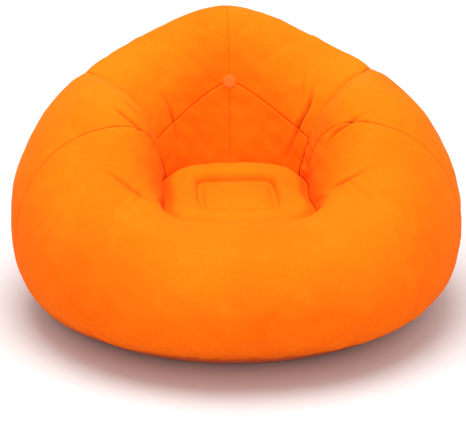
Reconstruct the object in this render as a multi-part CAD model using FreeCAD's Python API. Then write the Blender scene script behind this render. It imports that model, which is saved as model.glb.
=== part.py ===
"""Air-filled lounge chair of flocked PVC sheet, at the size it has when blown up.

The origin is on the floor under the middle, +Z is up and the sitter looks along -Y.
A bearing is an angle round the seat, in degrees: 0 is the front, 90 the +X arm, 180 the back.
Every panel of the skin is cut from one closed outline, which runs from the middle of the seat
over the crest of the ring and down to the edge of the flat of the base. The outline changes with
the bearing, and is a chain of cubic curves with CURVE_STEP numbered points to each.
"""
import FreeCAD, Part
import os
from math import ceil, cos, floor, hypot, radians, sin, sqrt, tan

Vector = FreeCAD.Vector

# --- the inflated ring, at bearings 0, 45, 90, 135 and 180; both sides are alike (mm, degrees)
BEARING_STEP = 45.0
SEAT_EDGE_RADIUS = (205.0, 222.0, 176.0, 226.0, 222.0)
SEAT_EDGE_HEIGHT = (250.0, 252.0, 258.0, 268.0, 270.0)
CREST_RADIUS = (286.0, 382.0, 300.0, 440.0, 372.0)
CREST_HEIGHT = (306.0, 332.0, 512.0, 547.0, 660.0)
WIDEST_RADIUS = (503.0, 515.0, 540.0, 532.0, 543.0)
WIDEST_HEIGHT = (160.0, 150.0, 232.0, 262.0, 322.0)
BASE_SEAM_RADIUS = (400.0, 426.0, 490.0, 428.0, 400.0)
INNER_WALL_LEAN = (12.0, 24.0, 0.0, 2.0, 14.0)
BASE_SEAM_HEIGHT = 37.0
FLOOR_CURL = 62.0            # how far in from the base seam the base first lies on the floor

# --- the skin
WALL = 0.9                   # PVC sheet with its flocked face
ARM_SEAM_BEARINGS = (118.0, 100.0, 79.0, 77.0, 76.0, 76.0, 76.0, 76.0, 76.0, 76.0)
CREASE_BEARINGS = (131.0, 126.0, 118.0, 123.5, 126.0, 126.5, 125.0, 125.0, 125.0, 125.0)
CREASE_DEPTHS = (0.0, 14.0, 60.0, 24.0, 9.0, 3.0, 0.0, 0.0, 0.0, 0.0)
CREASE_HALF_WIDTH = 28.0     # degrees of bearing that the crease draws in, each side
LOW_BACK_TOP_SIDE = 0.28     # top seam of the lower back, as a share of the inner wall's curve
LOW_BACK_TOP_MIDDLE = 0.39
LOW_BACK_TOP_BOW = 1.6        # power of its rise from the side to the middle

# --- the seat and the ties that hold it down
TIE_HALF_WIDTH = 88.0        # of the rounded square that is welded to the ties, across the seat
TIE_HALF_DEPTH = 100.0       # the same, front to back
TIE_SQUARENESS = 7.0         # power of the rounded square
TIE_HEIGHT = 268.0           # height of the welded band
WELD_BAND = 14.0
SEAT_CROWN = 26.0            # the pillow's crest above the seat edge
SEAT_EDGE_TURN = 22.0        # how far in from its edge the seat starts to turn down
SEAT_MIDDLE_RISE = 9.0       # the middle above the welded band
WEB_SHEET = 0.8
WEB_CORNER_GAP = 34.0        # each web stops this far short of the square's corner
WEB_VENT_RADIUS = 24.0
WEB_VENT_SHARE = 0.5         # height of the vents, as a share of the web
DOUBLER_SHEET = 0.8
DOUBLER_WIDTH = 12.0

# --- the patch over the point where the back's seams meet
PATCH_RADIUS = 15.0
PATCH_SHEET = 0.4

# --- the air valve, low on the back
VALVE_BEARING = 206.0
VALVE_CURVE_SHARE = 0.22     # place on the curve from the widest point down to the base seam
FLANGE_RADIUS = 32.0
FLANGE_SHEET = 1.2
COLLAR_BORE_RADIUS = 15.0
COLLAR_WALL = 2.4
COLLAR_INSIDE = 16.0         # how far the collar reaches into the air chamber
COLLAR_OUTSIDE = 2.6
PANEL_HOLE_CLEARANCE = 0.2
RUNNING_CLEARANCE = 0.3      # between pieces that come apart
PLUG_HEAD_OVERHANG = 4.0
PLUG_HEAD_THICKNESS = 4.4
PLUG_DEPTH = 14.0
PORT_RADIUS = 8.0
FLAP_CHAMBER_WALL = 2.6
FLAP_SEAT_DEPTH = 4.0
FLAP_THICKNESS = 1.0
FLAP_OVERLAP = 2.0
STEM_RADIUS = 1.5
STEM_LENGTH = 9.5
SPIDER_THICKNESS = 2.0
SPIDER_ARM_WIDTH = 2.2
SPIDER_HUB_WALL = 1.6
CAP_THICKNESS = 1.6
CAP_OVERLAP = 4.0
STOPPER_LENGTH = 4.0
STOPPER_TAPER = 1.5
CAP_TAB_LENGTH = 8.0
CAP_TAB_HALF_WIDTH = 4.5
STRAP_HALF_WIDTH = 4.0
STRAP_THICKNESS = 1.1
STRAP_RING_HEIGHT = 1.6
STRAP_RING_GROOVE = 0.8      # depth of the groove that holds the ring, in the plug's rim

# --- how finely a panel is shaped
STATION_STEP = 9.0           # bearing between the outlines that a panel passes through, at most
CURVE_STEP = 3               # numbered points per cubic curve
CUBIC = 3
SEWING_TOLERANCE = 1e-3
WHOLE, LOW, HIGH = None, 0, 1  # the inner wall of the back is cut in two by the lower back's top
SEAT_MIDDLE, SEAT_EDGE, CREST, WIDEST, BASE_SEAM, FLOOR_EDGE = 0, 12, 15, 18, 21, 24

RING_CENTRE_Y = (WIDEST_RADIUS[0] - WIDEST_RADIUS[-1]) / 2


def around(values, bearing):
    """A value that is given at five bearings, joined by smooth curves all the way round."""
    ring = list(values) + list(values[-2:0:-1])
    place = (bearing % 360.0) / BEARING_STEP
    first = int(floor(place))
    t = place - first
    before, here, after, beyond = (ring[(first + step) % len(ring)] for step in (-1, 0, 1, 2))
    slope_here = (after - before) / 2
    slope_after = (beyond - here) / 2
    return ((2 * t**3 - 3 * t**2 + 1) * here + (t**3 - 2 * t**2 + t) * slope_here
            + (3 * t**2 - 2 * t**3) * after + (t**3 - t**2) * slope_after)


def tie_radius(bearing):
    """Radius of the rounded square that is welded to the ties."""
    across = abs(sin(radians(bearing))) / TIE_HALF_WIDTH
    along = abs(cos(radians(bearing))) / TIE_HALF_DEPTH
    return (across**TIE_SQUARENESS + along**TIE_SQUARENESS) ** (-1 / TIE_SQUARENESS)


def crease_pull(bearing, point):
    """How far the crease beside the back draws a numbered point of the outline in."""
    step = point - SEAT_EDGE
    if not 0 <= step < len(CREASE_DEPTHS):
        return 0.0
    folded = bearing % 360.0
    folded = min(folded, 360.0 - folded)
    away = min(abs(folded - CREASE_BEARINGS[step]) / CREASE_HALF_WIDTH, 1.0)
    return CREASE_DEPTHS[step] * (1 - sqrt(1 - (1 - away) ** 2))


def outline(bearing):
    """Numbered points of the outline at one bearing, as (radius, height)."""
    edge_r, edge_z = around(SEAT_EDGE_RADIUS, bearing), around(SEAT_EDGE_HEIGHT, bearing)
    crest_r, crest_z = around(CREST_RADIUS, bearing), around(CREST_HEIGHT, bearing)
    wide_r, wide_z = around(WIDEST_RADIUS, bearing), around(WIDEST_HEIGHT, bearing)
    base_r, base_z = around(BASE_SEAM_RADIUS, bearing), BASE_SEAM_HEIGHT
    lean = radians(around(INNER_WALL_LEAN, bearing))
    tie_r = tie_radius(bearing)
    band_in, band_out = tie_r - WELD_BAND / 2, tie_r + WELD_BAND / 2
    crown_r, crown_z = (band_out + edge_r) / 2, edge_z + SEAT_CROWN
    middle_z = TIE_HEIGHT + SEAT_MIDDLE_RISE
    rise = (crest_z - edge_z) / 2
    floor_r = base_r - FLOOR_CURL
    points = [
        (0.0, middle_z), (0.45 * band_in, middle_z), (0.9 * band_in, middle_z),
        (band_in, TIE_HEIGHT), (band_in + WELD_BAND / 3, TIE_HEIGHT),
        (band_out - WELD_BAND / 3, TIE_HEIGHT),
        (band_out, TIE_HEIGHT), (band_out + 0.1 * (crown_r - band_out), crown_z),
        (crown_r - 0.5 * (crown_r - band_out), crown_z),
        (crown_r, crown_z), (crown_r + 0.55 * (edge_r - crown_r), crown_z),
        (edge_r - SEAT_EDGE_TURN, edge_z + 0.45 * SEAT_CROWN),
        (edge_r, edge_z), (edge_r + rise * tan(lean), edge_z + rise),
        (crest_r - 0.8 * (crest_r - edge_r), crest_z),
        (crest_r, crest_z), (crest_r + 0.55 * (wide_r - crest_r), crest_z),
        (wide_r, wide_z + 0.55 * (crest_z - wide_z)),
        (wide_r, wide_z), (wide_r, wide_z - 0.55 * (wide_z - base_z)),
        (base_r + 0.45 * (wide_r - base_r), base_z + 0.25 * (wide_z - base_z)),
        (base_r, base_z),
        (base_r - 0.16 * (wide_r - base_r), base_z * 0.58), (floor_r + 14.0, 0.0),
        (floor_r, 0.0),
    ]
    core_r, core_z = (edge_r + wide_r) / 2, (crest_z + base_z) / 2
    pulled = []
    for number, (r, z) in enumerate(points):
        pull = crease_pull(bearing, number)
        away = hypot(core_r - r, core_z - z)
        pulled.append((r + pull * (core_r - r) / away, z + pull * (core_z - z) / away))
    return pulled


def inward(points, number):
    """The inward miter at a numbered point: unit sheet thickness, towards the air."""
    legs = []
    for a, b in ((number - 1, number), (number, number + 1)):
        if 0 <= a and b < len(points):
            dr, dz = points[b][0] - points[a][0], points[b][1] - points[a][1]
            legs.append((dz / hypot(dr, dz), -dr / hypot(dr, dz)))
    if len(legs) == 1:
        return legs[0]
    (ar, az), (br, bz) = legs
    share = 1 + ar * br + az * bz
    return (ar + br) / share, (az + bz) / share


def point_at(bearing, number, inset):
    """A numbered point in space, moved inset into the air chamber."""
    points = outline(bearing)
    r, z = points[number]
    in_r, in_z = inward(points, number)
    if number == SEAT_MIDDLE:
        in_r = 0.0
    r, z = r + inset * in_r, z + inset * in_z
    return Vector(r * sin(radians(bearing)), RING_CENTRE_Y - r * cos(radians(bearing)), z)


def listed(bearings, number):
    """The bearing that a line up the skin gives to a numbered point."""
    return bearings[min(max(number - SEAT_EDGE, 0), len(bearings) - 1)]


# A sector lies between two lines up the skin; each line gives a bearing to a numbered point.
def arm_seam(number):
    return listed(ARM_SEAM_BEARINGS, number)


def left_arm_seam(number):
    return 360.0 - arm_seam(number)


def crease_bearing(number):
    return listed(CREASE_BEARINGS, number)


def left_crease(number):
    return 360.0 - crease_bearing(number)


def back_seam(number):
    return 180.0


def front_start(number):
    return -arm_seam(number)


SECTORS = {
    "front": (front_start, arm_seam),
    "right_arm": (arm_seam, crease_bearing),
    "right_back": (crease_bearing, back_seam),
    "left_back": (back_seam, left_crease),
    "left_arm": (left_crease, left_arm_seam),
}


def stations(sector):
    """Shares of the way across a sector, closer together towards a crease."""
    start, end = SECTORS[sector]
    count = int(ceil((end(CREST) - start(CREST)) / STATION_STEP))
    if crease_bearing in (start, end) or left_crease in (start, end):
        count += 3
    even = [step / count for step in range(count + 1)]
    if crease_bearing is start or left_crease is start:
        return [share**1.7 for share in even]
    if crease_bearing is end or left_crease is end:
        return [1 - (1 - share) ** 1.7 for share in even]
    return even


def control_points(sector, share, first, inset):
    """The four points of one cubic curve of the outline."""
    start, end = SECTORS[sector]
    row = []
    for number in range(first, first + CURVE_STEP + 1):
        bearing = start(number) + share * (end(number) - start(number))
        row.append(point_at(bearing, number, inset))
    return row


def split(curve, at):
    """Both halves of a cubic curve, cut at a share of it."""
    a, b, c, d = curve
    ab, bc, cd = a + (b - a) * at, b + (c - b) * at, c + (d - c) * at
    abc, bcd = ab + (bc - ab) * at, bc + (cd - bc) * at
    middle = abc + (bcd - abc) * at
    return [a, ab, abc, middle], [middle, bcd, cd, d]


def low_back_top(sector, share):
    """Where the lower back's top seam cuts the inner wall's curve."""
    from_crease = share if sector == "right_back" else 1 - share
    rise = from_crease**LOW_BACK_TOP_BOW
    return LOW_BACK_TOP_SIDE + (LOW_BACK_TOP_MIDDLE - LOW_BACK_TOP_SIDE) * rise


def rows_of(sector, first, inset, part):
    """The cubic curves across a sector, or their parts below or above the lower back's top."""
    rows = []
    for share in stations(sector):
        row = control_points(sector, share, first, inset)
        if part is not WHOLE:
            row = split(row, low_back_top(sector, share))[part]
        rows.append(row)
    return rows


def skin_face(rows, shares):
    """A face through a row of cubic curves."""
    columns = []
    knots = multiplicities = None
    for column in zip(*rows):
        if all(point.isEqual(column[0], 1e-6) for point in column):
            columns.append(None)
            continue
        curve = Part.BSplineCurve()
        curve.interpolate(Points=list(column), Parameters=shares)
        columns.append(curve.getPoles())
        knots, multiplicities = curve.getKnots(), curve.getMultiplicities()
    count = max(len(poles) for poles in columns if poles)
    for number, poles in enumerate(columns):
        if poles is None:
            columns[number] = [rows[0][number]] * count
    poles = [[column[step] for column in columns] for step in range(count)]
    surface = Part.BSplineSurface()
    surface.buildFromPolesMultsKnots(
        poles, multiplicities, [4, 4], knots, [0.0, 1.0], False, False, CUBIC, CUBIC)
    return surface, surface.toShape()


def strip(outer_points, inner_points, multiplicities, knots):
    """The strip that closes a sheet's edge, between two curves of one kind."""
    surface = Part.BSplineSurface()
    surface.buildFromPolesMultsKnots(
        [outer_points, inner_points], [2, 2], multiplicities, [0.0, 1.0], knots,
        False, False, 1, CUBIC)
    return surface.toShape()


def last_edge(surface):
    """The edge of a face along the last points of its outlines."""
    curve = Part.BSplineCurve()
    curve.buildFromPolesMultsKnots([row[-1] for row in surface.getPoles()],
                                   surface.getUMultiplicities(), surface.getUKnots(), False, CUBIC)
    return curve.toShape()


def shared_below(sector, first, part, taken):
    """Whether another piece of the sheet, or the middle of the seat, lies below this one."""
    if part == HIGH:
        return (sector, first, LOW) in taken
    below = first - CURVE_STEP
    return first == SEAT_MIDDLE or (sector, below, WHOLE) in taken or (sector, below, HIGH) in taken


def shared_above(sector, first, part, taken):
    """Whether another piece of the sheet, or the flat of the base, lies past this one."""
    if part == LOW:
        return (sector, first, HIGH) in taken
    above = first + CURVE_STEP
    return above == FLOOR_EDGE or (sector, above, WHOLE) in taken or (sector, above, LOW) in taken


def sheet(pieces, near, far):
    """A closed sheet between two insets, from pieces given as (sector, first point, part).

    A strip closes each edge that no other piece shares.
    """
    faces = []
    flat_edges = {near: [], far: []}
    order = list(SECTORS)
    for sector, first, part in pieces:
        shares = stations(sector)
        outer, outer_face = skin_face(rows_of(sector, first, near, part), shares)
        inner, inner_face = skin_face(rows_of(sector, first, far, part), shares)
        faces += [outer_face, inner_face]
        outer_poles, inner_poles = outer.getPoles(), inner.getPoles()
        place = order.index(sector)
        neighbours = (order[place - 1], order[(place + 1) % len(order)])
        for neighbour, row in zip(neighbours, (0, -1)):
            if (neighbour, first, part) not in pieces:
                faces.append(strip(outer_poles[row], inner_poles[row], [4, 4], [0.0, 1.0]))
        if first + CURVE_STEP == FLOOR_EDGE:
            flat_edges[near].append(last_edge(outer))
            flat_edges[far].append(last_edge(inner))
        for shared, column in ((shared_below, 0), (shared_above, -1)):
            if not shared(sector, first, part, pieces):
                faces.append(strip([row[column] for row in outer_poles],
                                   [row[column] for row in inner_poles],
                                   outer.getUMultiplicities(), outer.getUKnots()))
    faces += [Part.Face(Part.Wire(edges)) for edges in flat_edges.values() if edges]
    sewn = Part.makeCompound(faces)
    sewn.sewShape(SEWING_TOLERANCE)
    shells = sewn.Shells
    assert len(shells) == 1 and shells[0].isClosed(), "the sheet does not close"
    solid = Part.makeSolid(shells[0])
    if solid.Volume < 0:
        solid.reverse()
    return solid


def ring_panel(sectors, first, last):
    return [(sector, number, WHOLE) for sector in sectors
            for number in range(first, last, CURVE_STEP)]


def back_panel(sector):
    return [(sector, SEAT_EDGE, HIGH)] + ring_panel([sector], CREST, BASE_SEAM)


def skin_panels():
    """Every panel of the skin, by name."""
    every = list(SECTORS)
    layout = {
        "front_panel": ring_panel(["front"], SEAT_EDGE, BASE_SEAM),
        "right_arm_panel": ring_panel(["right_arm"], SEAT_EDGE, BASE_SEAM),
        "left_arm_panel": ring_panel(["left_arm"], SEAT_EDGE, BASE_SEAM),
        "right_back_panel": back_panel("right_back"),
        "left_back_panel": back_panel("left_back"),
        "right_lower_back_panel": [("right_back", SEAT_EDGE, LOW)],
        "left_lower_back_panel": [("left_back", SEAT_EDGE, LOW)],
        "seat_panel": ring_panel(every, SEAT_MIDDLE, SEAT_EDGE),
        "base_panel": ring_panel(every, BASE_SEAM, FLOOR_EDGE),
    }
    return {name: sheet(pieces, 0.0, WALL) for name, pieces in layout.items()}


def surface_frame(sector, share, first, at):
    """A place on the skin: the point, and the directions out of the skin and down along it."""
    step = 1e-3

    def spot(across, along):
        return split(control_points(sector, across, first, 0.0), along)[0][-1]

    origin = spot(share, at)
    down = (spot(share, at + step) - origin).normalize()
    sideways = (spot(share + step, at) - origin).normalize()
    out = sideways.cross(down).normalize()
    if out.dot(origin - Vector(0, RING_CENTRE_Y, origin.z)) < 0 and first > SEAT_EDGE:
        out = out * -1
    return origin, out, down


def placed(shape, origin, out, down):
    """A shape built about +Z, set on the skin with +Z outward and +X down along the skin."""
    down = (down - out * down.dot(out)).normalize()
    side = out.cross(down)
    turn = FreeCAD.Rotation(down, side, out, "ZXY")
    moved = shape.copy()
    moved.Placement = FreeCAD.Placement(origin, turn)
    return moved


def cylinder(radius, low, high):
    return Part.makeCylinder(radius, high - low, Vector(0, 0, low))


def cone(low_radius, high_radius, low, high):
    return Part.makeCone(low_radius, high_radius, high - low, Vector(0, 0, low))


def block(x, y, z):
    """A box from its (low, high) spans."""
    return Part.makeBox(x[1] - x[0], y[1] - y[0], z[1] - z[0], Vector(x[0], y[0], z[0]))


def centre_patch():
    """The small round patch over the point where the back's seams meet."""
    frame = surface_frame("right_back", 1.0, SEAT_EDGE, LOW_BACK_TOP_MIDDLE)
    slab = sheet(ring_panel(("right_back", "left_back"), SEAT_EDGE, CREST), -PATCH_SHEET, 0.0)
    return slab.common(placed(cylinder(PATCH_RADIUS, -PATCH_RADIUS, PATCH_RADIUS), *frame))


# --- heights in the valve, above the skin
COLLAR_RADIUS = COLLAR_BORE_RADIUS + COLLAR_WALL
PLUG_RADIUS = COLLAR_BORE_RADIUS - RUNNING_CLEARANCE
HEAD_RADIUS = COLLAR_BORE_RADIUS + PLUG_HEAD_OVERHANG
HEAD_LOW = COLLAR_OUTSIDE + RUNNING_CLEARANCE
HEAD_TOP = HEAD_LOW + PLUG_HEAD_THICKNESS
CAP_LOW = HEAD_TOP + RUNNING_CLEARANCE
CAP_TOP = CAP_LOW + CAP_THICKNESS
CAP_RADIUS = PORT_RADIUS + CAP_OVERLAP
RING_LOW = HEAD_LOW + (PLUG_HEAD_THICKNESS - STRAP_RING_HEIGHT) / 2
STRAP_RING_RADIUS = HEAD_RADIUS + STRAP_THICKNESS
STRAP_IN = STRAP_RING_RADIUS + RUNNING_CLEARANCE
STOPPER_LOW = CAP_LOW - STOPPER_LENGTH
SPIDER_LOW = -PLUG_DEPTH


def valve_sector_share():
    """The valve's place across the left back sector, worked out from its bearing."""
    start, end = SECTORS["left_back"]
    return (VALVE_BEARING - start(WIDEST)) / (end(WIDEST) - start(WIDEST))


def valve_flange(frame):
    """The valve's base: a flexible disc welded to the skin, with the collar that takes the plug."""
    slab = sheet(ring_panel(["left_back"], WIDEST, BASE_SEAM), -FLANGE_SHEET, 0.0)
    disc = slab.common(placed(cylinder(FLANGE_RADIUS, -FLANGE_RADIUS, FLANGE_RADIUS), *frame))
    collar = cylinder(COLLAR_RADIUS, -COLLAR_INSIDE, COLLAR_OUTSIDE)
    bore = cylinder(COLLAR_BORE_RADIUS, -2 * COLLAR_INSIDE, 2 * COLLAR_INSIDE)
    return disc.fuse(placed(collar, *frame)).cut(placed(bore, *frame)).removeSplitter()


def valve_plug(frame):
    """The plug that is pulled out to let the air out; the air port runs through it."""
    body = cylinder(PLUG_RADIUS, -PLUG_DEPTH, HEAD_LOW + 1.0)
    head = cylinder(HEAD_RADIUS, HEAD_LOW, HEAD_TOP)
    rounding = PLUG_HEAD_THICKNESS / 4
    head = head.makeFillet(rounding, [head.Edges[0]])
    port = cylinder(PORT_RADIUS, -PLUG_DEPTH, HEAD_TOP + 1.0)
    chamber = cylinder(PLUG_RADIUS - FLAP_CHAMBER_WALL, -PLUG_DEPTH, -FLAP_SEAT_DEPTH)
    groove = cylinder(HEAD_RADIUS + 1.0, RING_LOW, RING_LOW + STRAP_RING_HEIGHT).cut(
        cylinder(HEAD_RADIUS - STRAP_RING_GROOVE, RING_LOW - 1.0, HEAD_TOP))
    shell = body.fuse(head).cut(port).cut(chamber).cut(groove)
    hub = cylinder(STEM_RADIUS + RUNNING_CLEARANCE + SPIDER_HUB_WALL, SPIDER_LOW,
                   SPIDER_LOW + SPIDER_THICKNESS)
    reach = PLUG_RADIUS - FLAP_CHAMBER_WALL / 2
    arms = []
    for turn in (0, 120, 240):
        arm = block((0, reach), (-SPIDER_ARM_WIDTH / 2, SPIDER_ARM_WIDTH / 2),
                    (SPIDER_LOW, SPIDER_LOW + SPIDER_THICKNESS))
        arm.rotate(Vector(), Vector(0, 0, 1), turn)
        arms.append(arm)
    guide = cylinder(STEM_RADIUS + RUNNING_CLEARANCE, -2 * PLUG_DEPTH, 0)
    spider = hub.multiFuse(arms).cut(guide)
    return placed(shell.fuse(spider).removeSplitter(), *frame)


def check_flap(frame):
    """The flap that air pushes inwards and that closes the port again, on its guide stem."""
    top = -FLAP_SEAT_DEPTH - RUNNING_CLEARANCE
    disc = cylinder(PORT_RADIUS + FLAP_OVERLAP, top - FLAP_THICKNESS, top)
    stem = cylinder(STEM_RADIUS, top - FLAP_THICKNESS - STEM_LENGTH, top)
    return placed(disc.fuse(stem).removeSplitter(), *frame)


def cap_strap(frame):
    """The ring that holds the cap's strap, in the groove round the plug's head."""
    ring = cylinder(STRAP_RING_RADIUS, RING_LOW, RING_LOW + STRAP_RING_HEIGHT)
    groove = cylinder(HEAD_RADIUS - STRAP_RING_GROOVE, HEAD_LOW, HEAD_TOP)
    return placed(ring.cut(groove), *frame)


def seal_cap(frame):
    """The cap that closes the port, with its stopper, pull tab and the moving end of its strap."""
    disc = cylinder(CAP_RADIUS, CAP_LOW, CAP_TOP)
    stopper = cone(PORT_RADIUS - RUNNING_CLEARANCE - STOPPER_TAPER,
                   PORT_RADIUS - RUNNING_CLEARANCE, STOPPER_LOW, CAP_LOW)
    hollow = cylinder(PORT_RADIUS - RUNNING_CLEARANCE - STOPPER_TAPER - 1.6,
                      STOPPER_LOW, CAP_LOW)
    tab = block((0, CAP_RADIUS + CAP_TAB_LENGTH), (-CAP_TAB_HALF_WIDTH, CAP_TAB_HALF_WIDTH),
                (CAP_LOW, CAP_TOP))
    tab = tab.makeFillet(CAP_TAB_HALF_WIDTH * 0.9,
                         [edge for edge in tab.Edges
                          if edge.Vertexes[0].Point.x > CAP_RADIUS
                          and edge.Vertexes[-1].Point.x > CAP_RADIUS
                          and abs(edge.tangentAt(edge.FirstParameter).z) > 0.9])
    strap = block((-STRAP_IN - STRAP_THICKNESS, 0), (-STRAP_HALF_WIDTH, STRAP_HALF_WIDTH),
                  (CAP_LOW, CAP_TOP))
    drop = block((-STRAP_IN - STRAP_THICKNESS, -STRAP_IN), (-STRAP_HALF_WIDTH, STRAP_HALF_WIDTH),
                 (STOPPER_LOW, CAP_TOP))
    cap = disc.multiFuse([stopper, tab, strap, drop]).cut(hollow).removeSplitter()
    return placed(cap, *frame)


def tie_doubler(low):
    """A flat rounded-square ring that spreads the ties' pull over the sheet it is welded to."""
    steps = 48
    bearings = [360.0 * step / steps for step in range(steps)]

    def loop(shift):
        corners = [Vector((tie_radius(b) + shift) * sin(radians(b)),
                          RING_CENTRE_Y - (tie_radius(b) + shift) * cos(radians(b)), low)
                   for b in bearings]
        curve = Part.BSplineCurve()
        curve.interpolate(Points=corners, PeriodicFlag=True)
        return Part.Wire(curve.toShape())

    outer = Part.Face(loop(DOUBLER_WIDTH / 2)).extrude(Vector(0, 0, DOUBLER_SHEET))
    return outer.cut(Part.Face(loop(-DOUBLER_WIDTH / 2)).extrude(Vector(0, 0, DOUBLER_SHEET)))


def tie_webs():
    """Four upright sheets that hold the seat's welded square to the base, with air vents."""
    low = WALL + DOUBLER_SHEET
    high = TIE_HEIGHT - WALL - DOUBLER_SHEET
    webs = {}
    for name, turn, reach, half_length in (
            ("front_tie_web", 0, TIE_HALF_DEPTH, TIE_HALF_WIDTH - WEB_CORNER_GAP),
            ("right_tie_web", 90, TIE_HALF_WIDTH, TIE_HALF_DEPTH - WEB_CORNER_GAP),
            ("back_tie_web", 180, TIE_HALF_DEPTH, TIE_HALF_WIDTH - WEB_CORNER_GAP),
            ("left_tie_web", 270, TIE_HALF_WIDTH, TIE_HALF_DEPTH - WEB_CORNER_GAP)):
        web = block((-half_length, half_length),
                    (-reach - WEB_SHEET / 2, -reach + WEB_SHEET / 2), (low, high))
        height = low + WEB_VENT_SHARE * (high - low)
        vent = Part.makeCylinder(WEB_VENT_RADIUS, 2 * reach, Vector(0, -2 * reach, height),
                                 Vector(0, 1, 0))
        web = web.cut(vent)
        web.rotate(Vector(), Vector(0, 0, 1), turn)
        web.translate(Vector(0, RING_CENTRE_Y, 0))
        webs[name] = web
    return webs


def build():
    nodes = skin_panels()
    frame = surface_frame("left_back", valve_sector_share(), WIDEST, VALVE_CURVE_SHARE)
    hole = cylinder(COLLAR_RADIUS + PANEL_HOLE_CLEARANCE, -FLANGE_RADIUS, FLANGE_RADIUS)
    nodes["left_back_panel"] = nodes["left_back_panel"].cut(placed(hole, *frame))
    nodes["centre_patch"] = centre_patch()
    nodes["seat_tie_doubler"] = tie_doubler(TIE_HEIGHT - WALL - DOUBLER_SHEET)
    nodes["base_tie_doubler"] = tie_doubler(WALL)
    nodes.update(tie_webs())
    nodes["valve_flange"] = valve_flange(frame)
    nodes["valve_plug"] = valve_plug(frame)
    nodes["check_flap"] = check_flap(frame)
    nodes["cap_strap"] = cap_strap(frame)
    nodes["seal_cap"] = seal_cap(frame)
    return nodes


os.makedirs("parts", exist_ok=True)
for name, shape in build().items():
    if shape.ShapeType == "Compound" and len(shape.Solids) == 1:
        shape = shape.Solids[0]
    print(name, shape.isValid(), len(shape.Solids), round(shape.Volume), "mm3")
    shape.exportStep(f"parts/{name}.step")
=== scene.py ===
"""Looks of an air-filled lounge chair of flocked PVC sheet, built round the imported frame.

Lengths are metres. A bearing is an angle round the seat, in degrees: 0 is the front, 90 the +X
arm, 180 the back. A place is a number along the skin's outline, which runs from the middle of the
seat (0) over the seat's edge (12), the crest (15) and the widest line (18) down to the base seam
(21) and the edge of the flat of the base (24), as a chain of cubic curves of three numbers each.
"""
import math

import bmesh
import bpy
import numpy as np
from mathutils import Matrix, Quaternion, Vector


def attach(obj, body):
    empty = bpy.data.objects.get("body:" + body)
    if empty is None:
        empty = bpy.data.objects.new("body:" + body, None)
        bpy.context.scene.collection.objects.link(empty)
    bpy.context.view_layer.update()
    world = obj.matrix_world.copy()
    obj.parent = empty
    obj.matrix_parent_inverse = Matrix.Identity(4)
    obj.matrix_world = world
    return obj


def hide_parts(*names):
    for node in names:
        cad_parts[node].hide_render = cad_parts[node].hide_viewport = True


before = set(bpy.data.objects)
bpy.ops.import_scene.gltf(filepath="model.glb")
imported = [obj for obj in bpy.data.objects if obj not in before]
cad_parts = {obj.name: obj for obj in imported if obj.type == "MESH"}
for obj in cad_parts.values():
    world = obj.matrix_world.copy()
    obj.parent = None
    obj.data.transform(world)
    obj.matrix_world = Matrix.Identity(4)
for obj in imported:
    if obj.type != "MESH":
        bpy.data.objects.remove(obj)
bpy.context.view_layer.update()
MM = 0.001

# --- the outline at bearings 0, 45, 90, 135 and 180, alike on both sides (mm, degrees)
SEAT_EDGE_RADIUS = (205, 222, 176, 226, 222)
SEAT_EDGE_HEIGHT = (250, 252, 258, 268, 270)
CREST_RADIUS = (286, 382, 300, 440, 372)
CREST_HEIGHT = (306, 332, 512, 547, 660)
WIDEST_RADIUS = (503, 515, 540, 532, 543)
WIDEST_HEIGHT = (160, 150, 232, 262, 322)
BASE_SEAM_RADIUS = (400, 426, 490, 428, 400)
INNER_WALL_LEAN = (12, 24, 0, 2, 14)
BASE_SEAM_HEIGHT = 37
FLOOR_CURL = 62
SHEET = 0.9
ARM_SEAM_BEARINGS = (118, 100, 79, 77, 76, 76, 76, 76, 76, 76)
CREASE_BEARINGS = (131, 126, 118, 123.5, 126, 126.5, 125, 125, 125, 125)
CREASE_DEPTHS = (0, 14, 58, 17, 5, 1, 0, 0, 0, 0)
CREASE_HALF_WIDTH = 28
CREASE_PINCH = (0, 8, 13, 5, 1, 0, 0, 0, 0, 0)
PINCH_HALF_WIDTH = 3.2
LOW_BACK_TOP_SIDE = 0.28
LOW_BACK_TOP_MIDDLE = 0.39
LOW_BACK_TOP_BOW = 1.6
TIE_HALF_WIDTH = 88
TIE_HALF_DEPTH = 100
TIE_SQUARENESS = 7
TIE_HEIGHT = 268
WELD_BAND = 14
SEAT_CROWN = 26
SEAT_EDGE_TURN = 22
SEAT_MIDDLE_RISE = 9
RING_CENTRE_Y = (WIDEST_RADIUS[0] - WIDEST_RADIUS[-1]) / 2

SEAT_EDGE, CREST, BASE_SEAM, FLOOR_EDGE = 12, 15, 21, 24
CURVE_STEP = 3


def around(values, bearing):
    """A value given at five bearings, joined by smooth curves all the way round."""
    ring = np.array(list(values) + list(values[-2:0:-1]), float)
    place = (bearing % 360.0) / 45.0
    first = np.floor(place).astype(int)
    t = place - first
    before, here, after, beyond = (ring[(first + step) % len(ring)] for step in (-1, 0, 1, 2))
    slope_here, slope_after = (after - before) / 2, (beyond - here) / 2
    return ((2 * t**3 - 3 * t**2 + 1) * here + (t**3 - 2 * t**2 + t) * slope_here
            + (3 * t**2 - 2 * t**3) * after + (t**3 - t**2) * slope_after)


def tie_radius(bearing):
    across = np.abs(np.sin(np.radians(bearing))) / TIE_HALF_WIDTH
    along = np.abs(np.cos(np.radians(bearing))) / TIE_HALF_DEPTH
    return (across**TIE_SQUARENESS + along**TIE_SQUARENESS) ** (-1 / TIE_SQUARENESS)


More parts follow.
